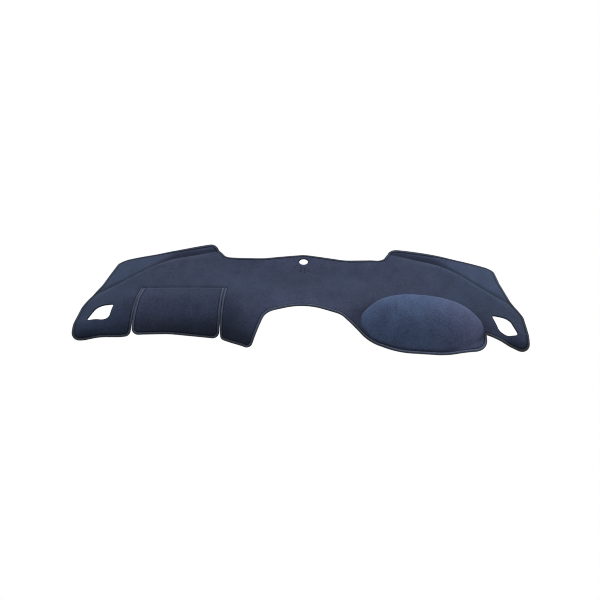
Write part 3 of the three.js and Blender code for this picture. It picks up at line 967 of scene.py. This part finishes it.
def noise_node(tree, vector, scale, detail=2.0, rough=0.5, stretch=None):
    """A noise texture of Object coordinates, with its scale in lumps per metre."""
    if stretch is not None:
        mapping = tree.nodes.new("ShaderNodeMapping")
        mapping.inputs["Scale"].default_value = stretch
        tree.links.new(vector, mapping.inputs["Vector"])
        vector = mapping.outputs[0]
    node = tree.nodes.new("ShaderNodeTexNoise")
    if isinstance(scale, (int, float)):
        node.inputs["Scale"].default_value = scale
    else:
        tree.links.new(scale, node.inputs["Scale"])
    node.inputs["Detail"].default_value = detail
    node.inputs["Roughness"].default_value = rough
    tree.links.new(vector, node.inputs["Vector"])
    return node.outputs["Fac"]


def mix_color(tree, factor, a, b, blend="MIX"):
    """A colour mix whose inputs are links or plain colours."""
    node = tree.nodes.new("ShaderNodeMix")
    node.data_type = "RGBA"
    node.blend_type = blend
    for socket, value in zip((node.inputs[0], node.inputs[6], node.inputs[7]), (factor, a, b)):
        if isinstance(value, (int, float, tuple)):
            socket.default_value = value
        else:
            tree.links.new(value, socket)
    return node.outputs[2]


def make_pile_group():
    """Cut pile: tufts and single fibres give the height, and the colour goes to the deep colour
    where the height is low, as painted shade between tufts; brushed patches and tufts vary the
    colour.
    """
    group, given, result = node_group(
        "cut_pile",
        [
            ("Deep Color", "NodeSocketColor", (0.02, 0.03, 0.06, 1)),
            ("Tip Color", "NodeSocketColor", (0.06, 0.08, 0.14, 1)),
            ("Warm Color", "NodeSocketColor", (0.07, 0.07, 0.12, 1)),
            ("Warmth", "NodeSocketFloat", 0.5),
            ("Fibre Scale", "NodeSocketFloat", 1100.0),
            ("Tuft Scale", "NodeSocketFloat", 330.0),
        ],
        [("Color", "NodeSocketColor"), ("Height", "NodeSocketFloat")],
    )
    where = group.nodes.new("ShaderNodeTexCoord").outputs["Object"]
    fibre = noise_node(group, where, given.outputs["Fibre Scale"], 2.0, 0.6)
    tuft = noise_node(group, where, given.outputs["Tuft Scale"], 1.0, 0.5)
    brushed = noise_node(group, where, 26.0, 3.0, 0.55, (1.0, 0.55, 1.0))
    patch = noise_node(group, where, 4.2, 2.0, 0.5)
    height = math_node(group, "MULTIPLY_ADD", fibre, 0.45, math_node(group, "MULTIPLY", tuft, 0.55))
    group.links.new(height, result.inputs["Height"])
    # painted shade between tufts: darker where the pile's height is low
    spread = math_node(group, "MULTIPLY_ADD", height, 1.9, -0.45, clamp=True)
    mottle = noise_node(group, where, 150.0, 2.0, 0.6)
    lie = math_node(group, "MULTIPLY_ADD", brushed, 0.8, math_node(group, "MULTIPLY", mottle, 0.7))
    tone = math_node(group, "SUBTRACT", lie, 0.72)
    level = math_node(group, "ADD", spread, tone, clamp=True)
    shift = math_node(group, "MULTIPLY_ADD", patch_share(group, patch), 0.3, -0.15)
    warm = math_node(group, "ADD", given.outputs["Warmth"], shift, clamp=True)
    base = mix_color(group, warm, given.outputs["Tip Color"], given.outputs["Warm Color"])
    color = mix_color(group, level, given.outputs["Deep Color"], base)
    group.links.new(color, result.inputs["Color"])
    return group


def patch_share(tree, patch):
    """Sharpens a soft noise into patches."""
    node = tree.nodes.new("ShaderNodeMapRange")
    node.inputs["From Min"].default_value = 0.38
    node.inputs["From Max"].default_value = 0.62
    tree.links.new(patch, node.inputs["Value"])
    return node.outputs[0]


def new_material(name):
    """A material with its Principled shader."""
    material = bpy.data.materials.new(name)
    material.use_nodes = True
    return material, material.node_tree, material.node_tree.nodes["Principled BSDF"]


def bump_into(tree, shader, height, distance, strength=1.0):
    """A Bump node, with its distance in metres, into the shader's normal."""
    bump = tree.nodes.new("ShaderNodeBump")
    bump.inputs["Distance"].default_value = distance
    bump.inputs["Strength"].default_value = strength
    tree.links.new(height, bump.inputs["Height"])
    tree.links.new(bump.outputs[0], shader.inputs["Normal"])


def place_group(tree, group, values):
    """A node group in a material, with its own values."""
    node = tree.nodes.new("ShaderNodeGroup")
    node.node_tree = group
    for label, value in values.items():
        node.inputs[label].default_value = value
    return node


def mesh_value(tree, name):
    """A value that the mesh carries for each vertex."""
    node = tree.nodes.new("ShaderNodeAttribute")
    node.attribute_name = name
    return node.outputs["Fac"]


def with_painted_light_and_shade(tree, color):
    """The colour made lighter or darker by the painted light and shade of the mesh's tone
    attribute, in stops.
    """
    lit = tree.nodes.new("ShaderNodeVectorMath")
    lit.operation = "SCALE"
    tree.links.new(color, lit.inputs[0])
    tree.links.new(math_node(tree, "POWER", 2.0, mesh_value(tree, "tone")), lit.inputs["Scale"])
    return lit.outputs[0]


def carpet_material(group):
    """Pile carpet in dark blue, with painted shade at the edge groove and round the cut holes, and
    painted light and shade from the tone attribute.
    """
    material, tree, shader = new_material("pile_carpet")
    pile = place_group(tree, group, {
        "Deep Color": (0.016, 0.021, 0.040, 1),
        "Tip Color": (0.039, 0.062, 0.118, 1),
        "Warm Color": (0.055, 0.062, 0.112, 1),
        "Fibre Scale": 1150.0,
        "Tuft Scale": 380.0,
    })
    # painted colour cast of the light
    tree.links.new(mesh_value(tree, "light_cast_warmth"), pile.inputs["Warmth"])
    # painted shade: the colour is mixed toward near black by the pressed_and_shade share
    darker = math_node(tree, "MULTIPLY", mesh_value(tree, "pressed_and_shade"), 0.62)
    color = mix_color(tree, darker, pile.outputs["Color"], (0.008, 0.009, 0.016, 1))
    tree.links.new(with_painted_light_and_shade(tree, color), shader.inputs["Base Color"])
    shader.inputs["Roughness"].default_value = 0.96
    shader.inputs["Specular IOR Level"].default_value = 0.12
    shader.inputs["Sheen Weight"].default_value = 0.2
    shader.inputs["Sheen Roughness"].default_value = 0.5
    shader.inputs["Sheen Tint"].default_value = (0.42, 0.56, 0.86, 1)
    bump_into(tree, shader, pile.outputs["Height"], 0.0011, 0.75)
    return material


def reverse_material(group):
    """The carpet's reverse: flat, dull and darker."""
    material, tree, shader = new_material("carpet_reverse")
    felt = place_group(tree, group, {
        "Deep Color": (0.010, 0.011, 0.016, 1),
        "Tip Color": (0.024, 0.027, 0.038, 1),
        "Warm Color": (0.028, 0.029, 0.038, 1),
        "Fibre Scale": 700.0,
        "Tuft Scale": 210.0,
    })
    tree.links.new(felt.outputs["Color"], shader.inputs["Base Color"])
    shader.inputs["Roughness"].default_value = 0.92
    shader.inputs["Specular IOR Level"].default_value = 0.2
    bump_into(tree, shader, felt.outputs["Height"], 0.0006, 0.6)
    return material


def band_material():
    """Carpet edge under the thread, nearly black: painted shade in the gaps between the stitches
    and round the cut edge.
    """
    material, tree, shader = new_material("edge_under_thread")
    where = tree.nodes.new("ShaderNodeTexCoord").outputs["Object"]
    grain = noise_node(tree, where, 900.0, 2.0, 0.6)
    color = mix_color(tree, grain, (0.006, 0.007, 0.012, 1), (0.020, 0.024, 0.040, 1))
    tree.links.new(color, shader.inputs["Base Color"])
    shader.inputs["Roughness"].default_value = 0.9
    bump_into(tree, shader, grain, 0.0005)
    return material


def thread_material():
    """Textured polyester thread, a little lighter than the pile, with a soft gloss, made lighter
    and darker by painted light and shade.
    """
    material, tree, shader = new_material("overlock_thread")
    where = tree.nodes.new("ShaderNodeTexCoord").outputs["Object"]
    fibre = noise_node(tree, where, 2600.0, 1.0, 0.5)
    uneven = noise_node(tree, where, 160.0, 2.0, 0.5)
    share = math_node(tree, "MULTIPLY", math_node(tree, "ADD", fibre, uneven), 0.5, clamp=True)
    color = mix_color(tree, share, (0.042, 0.060, 0.114, 1), (0.105, 0.135, 0.225, 1))
    tree.links.new(with_painted_light_and_shade(tree, color), shader.inputs["Base Color"])
    shader.inputs["Roughness"].default_value = 0.62
    shader.inputs["Specular IOR Level"].default_value = 0.4
    shader.inputs["Sheen Weight"].default_value = 0.2
    shader.inputs["Sheen Roughness"].default_value = 0.4
    bump_into(tree, shader, fibre, 0.0003, 0.6)
    return material


# ---- stage, light and camera


def white_when_seen(tree, shader, white, surface):
    """The shader lights the scene, and the white one is what the camera sees, directly or by
    a mirror or glass."""
    path = tree.nodes.new("ShaderNodeLightPath").outputs
    seen = math_node(tree, "MAXIMUM", path["Is Camera Ray"], path["Is Glossy Ray"])
    seen = math_node(tree, "MAXIMUM", seen, path["Is Transmission Ray"])
    white.inputs["Color"].default_value = (1, 1, 1, 1)
    mix = tree.nodes.new("ShaderNodeMixShader")
    tree.links.new(seen, mix.inputs[0])
    tree.links.new(shader.outputs[0], mix.inputs[1])
    tree.links.new(white.outputs[0], mix.inputs[2])
    tree.links.new(mix.outputs[0], surface)


def floor_material():
    """Floor that reflects a little light, and is plain white to the camera."""
    material, tree, shader = new_material("pale_floor")
    shader.inputs["Base Color"].default_value = (0.25, 0.25, 0.25, 1)
    shader.inputs["Roughness"].default_value = 0.9
    shader.inputs["Specular IOR Level"].default_value = 0.0
    glow = tree.nodes.new("ShaderNodeEmission")
    white_when_seen(tree, shader, glow, tree.nodes["Material Output"].inputs["Surface"])
    return material


def make_floor():
    """A wide level floor just under the mat's lowest stitches."""
    edge = np.linspace(-FLOOR_REACH, FLOOR_REACH, 3)
    x, y = np.meshgrid(edge, edge)
    points = np.stack([x.ravel(), y.ravel(), np.full(9, FLOOR_LEVEL)], 1)
    faces = np.array([[0, 1, 4, 3], [1, 2, 5, 4], [3, 4, 7, 6], [4, 5, 8, 7]])
    floor = mesh_object("floor", points, faces, [floor_material()])


def make_world(strength):
    """Even soft light, and plain white for the camera."""
    world = bpy.data.worlds.new("soft_room")
    bpy.context.scene.world = world
    world.use_nodes = True
    tree = world.node_tree
    ambient = tree.nodes["Background"]
    ambient.inputs["Color"].default_value = (0.95, 0.97, 1.0, 1)
    ambient.inputs["Strength"].default_value = strength
    white = tree.nodes.new("ShaderNodeBackground")
    white_when_seen(tree, ambient, white, tree.nodes["World Output"].inputs["Surface"])


def area_light(name, place, target, size, energy):
    """A soft rectangular lamp at a place, aimed at a target."""
    data = bpy.data.lights.new(name, "AREA")
    data.shape = "RECTANGLE"
    data.size, data.size_y = size
    data.energy = energy
    lamp = bpy.data.objects.new(name, data)
    lamp.location = place
    lamp.rotation_euler = (Vector(target) - Vector(place)).to_track_quat("-Z", "Y").to_euler()
    bpy.context.scene.collection.objects.link(lamp)


def make_camera():
    """The photograph's viewing angle."""
    azimuth, elevation = np.radians(CAMERA_AZIMUTH), np.radians(CAMERA_ELEVATION)
    back = Vector((
        np.sin(azimuth) * np.cos(elevation),
        -np.cos(azimuth) * np.cos(elevation),
        np.sin(elevation),
    ))
    data = bpy.data.cameras.new("camera")
    data.lens = CAMERA_LENS
    data.sensor_width = 36.0
    data.clip_end = 100.0
    camera = bpy.data.objects.new("camera", data)
    camera.location = Vector(CAMERA_TARGET) + back * CAMERA_DISTANCE
    camera.rotation_euler = (-back).to_track_quat("-Z", "Y").to_euler()
    bpy.context.scene.collection.objects.link(camera)
    bpy.context.scene.camera = camera


make_camera()
bpy.context.scene.view_settings.view_transform = "Standard"
bpy.context.scene.cycles.filter_width = 1.0
make_world(WORLD_STRENGTH)
area_light("overhead", (0.0, 0.0, 2.5), LIGHT_TARGET, (2.4, 2.4), 39.0)
area_light("right", (2.4, 0.0, 1.2), LIGHT_TARGET, (1.0, 1.6), 17.0)
make_floor()

pile_group = make_pile_group()
carpet = make_sheet([carpet_material(pile_group), reverse_material(pile_group)])
band = make_band(band_material())
stitches = make_stitches(thread_material())

for piece in (carpet, band, stitches):
    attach(piece, "root")
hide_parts("dash_mat")
